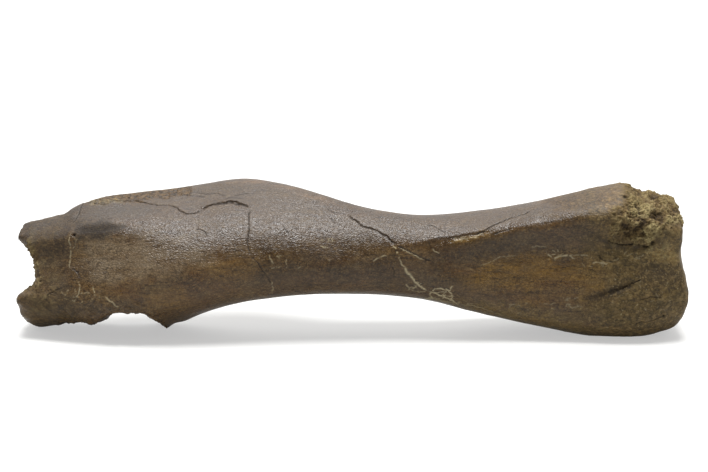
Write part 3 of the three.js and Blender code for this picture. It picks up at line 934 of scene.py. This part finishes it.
# %% Layers, as pattern, two of its values, the share of the colour at each, zone and colour
LAYERS = [
    ("broad", 0.38, 0.62, 0.0, 1.0, None, RIND_RED),
    ("mottle", 0.38, 0.66, 0.0, 0.6, None, RIND_GREY),
    ("rubble", 0.30, 0.65, 0.9, 0.4, "olive", OLIVE_STAIN),
    ("grain", 0.34, 0.50, 0.5, 0.0, None, DARK_STAIN_AND_SHADE),
    ("grain", 0.52, 0.70, 0.0, 0.45, "not_upward", RIND_LIGHT),
    ("mottle", 0.30, 0.60, 0.3, 0.7, "pale", TROUGH_PALE),
    # grey stains, painted shade and a painted sheen
    ("mottle", 0.30, 0.60, 0.6, 0.85, "ash_shade_and_sheen", ASH_SHADE_SHEEN_GREY),
    ("mottle", 0.30, 0.60, 0.5, 0.9, "tan", TAN_STAIN),
    ("streak", 0.36, 0.64, 0.2, 0.85, "ochre", OCHRE_STAIN),
    # umber stains and painted shade
    ("mottle", 0.30, 0.65, 0.85, 0.5, "umber_and_shade", DARK_STAIN_AND_SHADE),
    # painted shade on the skin that faces up
    ("mottle", 0.35, 0.65, 0.75, 0.35, "upward_shade", UPWARD_SHADE_BROWN),
    ("rubble", 0.40, 0.58, 0.7, 0.0, "worn", DARK_STAIN_AND_SHADE),
    ("rubble", 0.52, 0.68, 0.0, 0.6, "olive", RIND_LIGHT),
    ("fibre", 0.52, 0.70, 0.0, 0.6, "fibrous", DARK_STAIN_AND_SHADE),
    ("grit", 0.36, 0.50, 0.35, 0.0, None, DARK_STAIN_AND_SHADE),
    ("grit", 0.54, 0.70, 0.0, 0.3, "not_upward", RIND_LIGHT),
    ("pebble", 0.0, 0.12, 0.8, 0.0, "crazed places", DARK_STAIN_AND_SHADE),
    ("grit", 0.62, 0.74, 0.0, 0.5, "olive", CALCITE),
    ("grain", 0.36, 0.66, 0.2, 0.8, "rust", RUST_STAIN),
    ("rubble", 0.42, 0.56, 0.85, 0.0, "rust", DARK_STAIN_AND_SHADE),
    ("rubble", 0.35, 0.60, 0.3, 0.9, "matrix", ROCK_FILL),
    # pale lumps, and painted light on the raised crumbs
    ("grain", 0.42, 0.60, 0.2, 0.9, "pale_lump_and_raised_light", ROCK_LUMP_AND_LIGHT),
    ("grit", 0.38, 0.52, 0.5, 0.0, "matrix", DARK_STAIN_AND_SHADE),
    # painted shade in the hollows of the broken rock
    ("grit", 0.40, 0.62, 0.5, 0.95, "rubble_hollow_shade", DARK_STAIN_AND_SHADE),
    ("grit", 0.34, 0.56, 0.7, 0.95, "vein", CALCITE),
    # painted shade in cracks, valleys and pits
    ("grit", 0.30, 0.60, 1.0, 0.9, "crack", CRACK_SHADE_BLACK),
]
colour = linear(RIND)
for name, low, high, at_low, at_high, where, tint in LAYERS:
    share = add_node(tree, "MapRange", {
        "Value": pattern[name], "From Min": low, "From Max": high, "To Min": at_low, "To Max": at_high})
    if where:
        share = add_node(tree, "Math", {0: share, 1: on_bone[where]}, operation="MULTIPLY")
    colour = add_node(tree, "Mix", {0: share, 6: colour, 7: linear(tint)}, out=2, data_type="RGBA")
print(len(LAYERS), "layers of colour")

# %% Fine relief and gloss
SKIN_IOR = 1.5
SKIN_GLINT = 0.38  # the porous skin scatters some of what a polished one would reflect
RELIEF_MM = {"fibre": 0.15, "grit": 0.25, "grain": 0.22}
PEBBLE_RISE_MM = 0.14
PEBBLE_SLOPE = 0.35  # the share of a pebble's width over which it rises from the crack around it
SMOOTHEST = 0.27
ROUGHEST = 0.4
DULLING = {"worn": 0.3, "matrix": 0.3, "vein": 0.2, "rust": 0.2, "crack": 0.4}

relief = add_node(tree, "MapRange", {
    "Value": pattern["pebble"], "From Min": 0.0, "From Max": PEBBLE_SLOPE, "To Max": PEBBLE_RISE_MM})
for name, rise in RELIEF_MM.items():
    relief = add_node(tree, "Math", {0: pattern[name], 1: rise, 2: relief}, operation="MULTIPLY_ADD")
bump = add_node(tree, "Bump", {"Height": relief, "Distance": MM, "Strength": 1.0})
gloss = add_node(tree, "MapRange", {
    "Value": pattern["mottle"], "From Min": 0.35, "From Max": 0.65, "To Min": SMOOTHEST, "To Max": ROUGHEST})
for where, dulling in DULLING.items():
    gloss = add_node(tree, "Math", {0: on_bone[where], 1: dulling, 2: gloss}, operation="MULTIPLY_ADD")
skin = add_node(tree, "BsdfPrincipled", {
    "Base Color": colour, "Roughness": gloss, "IOR": SKIN_IOR, "Specular IOR Level": SKIN_GLINT,
    "Normal": bump})
add_node(tree, "OutputMaterial", {"Surface": skin})
bone.data.materials.append(fossil)
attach(bone, "root")
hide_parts("humerus")
print("material:", fossil.name, len(tree.nodes), "nodes")

# %% [markdown]
# ## The stage
# The photograph has a white floor that runs on without a line, and its light seems to come from large soft
# boxes above and behind. A wide pale floor, a room that is brighter behind than in front, and two lamps as
# wide as soft boxes give the pale sheen along the top of the bone and the faint shadow under it.

# %% The floor
FLOOR_METRES = 12
PAPER_WHITE = "#b2b2b0"
PAPER_ROUGHNESS = 0.9
PAPER_LIFT = 0.47  # how far the exposure lifts the paper in the picture, without lighting the bone more
PAPER_GLOW = 0.1  # its glow for all light that doesn't go straight to the camera
WHITE = (1.0, 1.0, 1.0, 1.0)

stage_shape = bmesh.new()
bmesh.ops.create_grid(stage_shape, x_segments=1, y_segments=1, size=FLOOR_METRES)
floor = bpy.data.objects.new("floor", bpy.data.meshes.new("floor"))
stage_shape.to_mesh(floor.data)
stage_shape.free()
bpy.context.scene.collection.objects.link(floor)
paper = bpy.data.materials.new("white paper")
paper.use_nodes = True
paper.node_tree.nodes.clear()
in_picture = add_node(paper.node_tree, "LightPath", out="Is Camera Ray")
glow = add_node(paper.node_tree, "MapRange", {
    "Value": in_picture, "To Min": PAPER_GLOW, "To Max": PAPER_LIFT})
sheet = add_node(paper.node_tree, "BsdfPrincipled", {
    "Base Color": linear(PAPER_WHITE), "Roughness": PAPER_ROUGHNESS, "Emission Color": WHITE,
    "Emission Strength": glow})
add_node(paper.node_tree, "OutputMaterial", {"Surface": sheet})
floor.data.materials.append(paper)
print("floor, half its width in metres:", FLOOR_METRES)

# %% Soft boxes, as the width that each seems to have in degrees, its strength and the direction it stands in
SOFT_BOXES = {
    "overhead": (25, 4.2, Vector((0.0, -0.03, 1.0))),
    "behind": (44, 0.68, Vector((0.0, 0.85, 1.0))),
}
for name, (width, strength, source) in SOFT_BOXES.items():
    lamp_data = bpy.data.lights.new(name, "SUN")
    lamp_data.angle = math.radians(width)
    lamp_data.energy = strength
    lamp = bpy.data.objects.new(name, lamp_data)
    lamp.rotation_mode = "QUATERNION"
    lamp.rotation_quaternion = (-source).to_track_quat("-Z", "Y")
    bpy.context.scene.collection.objects.link(lamp)
print("soft boxes:", list(SOFT_BOXES))

# %% The white room
BACK_LIGHT = 0.9
FRONT_LIGHT = 0.06
DARK_UP_TO = -0.9  # how far a direction points to the back, from -1 to 1, where the room is darkest
BRIGHT_FROM = 0.6  # and where it is brightest
world = bpy.data.worlds.new("white studio")
world.use_nodes = True
room = world.node_tree
room.nodes.clear()
towards = add_node(room, "TexCoord", out="Generated")
from_back = add_node(room, "SeparateXYZ", {"Vector": towards}, out="Y")
fall = add_node(room, "MapRange", {
    "Value": from_back, "From Min": DARK_UP_TO, "From Max": BRIGHT_FROM,
    "To Min": FRONT_LIGHT, "To Max": BACK_LIGHT})
seen = add_node(room, "LightPath", out="Is Camera Ray")
strength = add_node(room, "Math", {0: seen, 1: fall}, operation="MAXIMUM")
backdrop = add_node(room, "Background", {"Color": WHITE, "Strength": strength})
add_node(room, "OutputWorld", {"Surface": backdrop})
bpy.context.scene.world = world
bpy.context.scene.view_settings.view_transform = "Standard"
print("white room:", len(room.nodes), "nodes")
